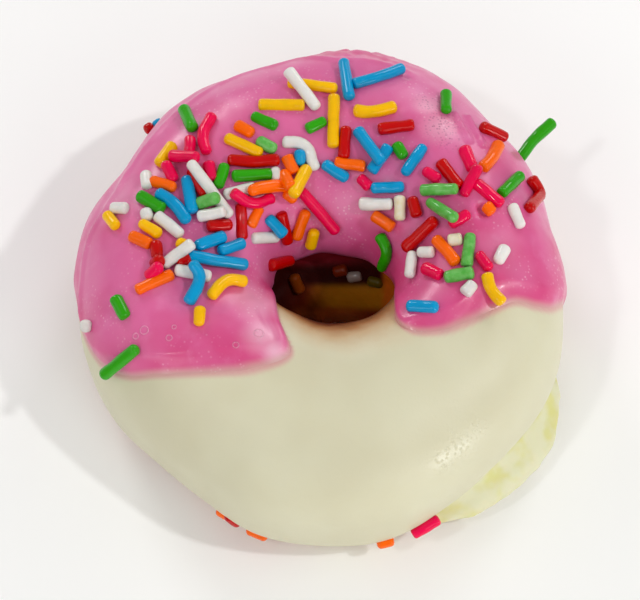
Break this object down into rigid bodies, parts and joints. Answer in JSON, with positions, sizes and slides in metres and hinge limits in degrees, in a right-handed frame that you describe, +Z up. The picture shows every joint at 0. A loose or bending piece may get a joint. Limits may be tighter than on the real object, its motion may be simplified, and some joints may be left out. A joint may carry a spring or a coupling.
{
  "type": "iced ring doughnut",
  "caption": "Ring doughnut to eat: a yeast dough ring with a coat of white icing and, over its far half, a coat of pink icing scattered with sugar sprinkles.",
  "frame": {"origin": "on the resting plane, under the middle of the whole doughnut's box", "axes": "+Z up, -Y towards the white front of the doughnut, +X to the right seen from that front"},
  "size_m": [0.0854, 0.09, 0.0367],
  "materials": {
    "dough": "fried yeast dough, golden brown, with a paler band and pale sides that bulge past the icing",
    "white_icing": "set cream-white sugar icing, smooth and softly glossy",
    "pink_icing": "set pink sugar icing, glossy, with fine bubbles and soft folds",
    "sprinkle_white": "glazed sugar",
    "sprinkle_yellow": "glazed sugar",
    "sprinkle_orange": "glazed sugar",
    "sprinkle_red": "glazed sugar",
    "sprinkle_pink": "glazed sugar",
    "sprinkle_green": "glazed sugar",
    "sprinkle_blue": "glazed sugar"
  },
  "bodies": {
    "root": {"dough": "dough", "white_icing": "white_icing", "pink_icing": "pink_icing"}
  },
  "joints": []
}
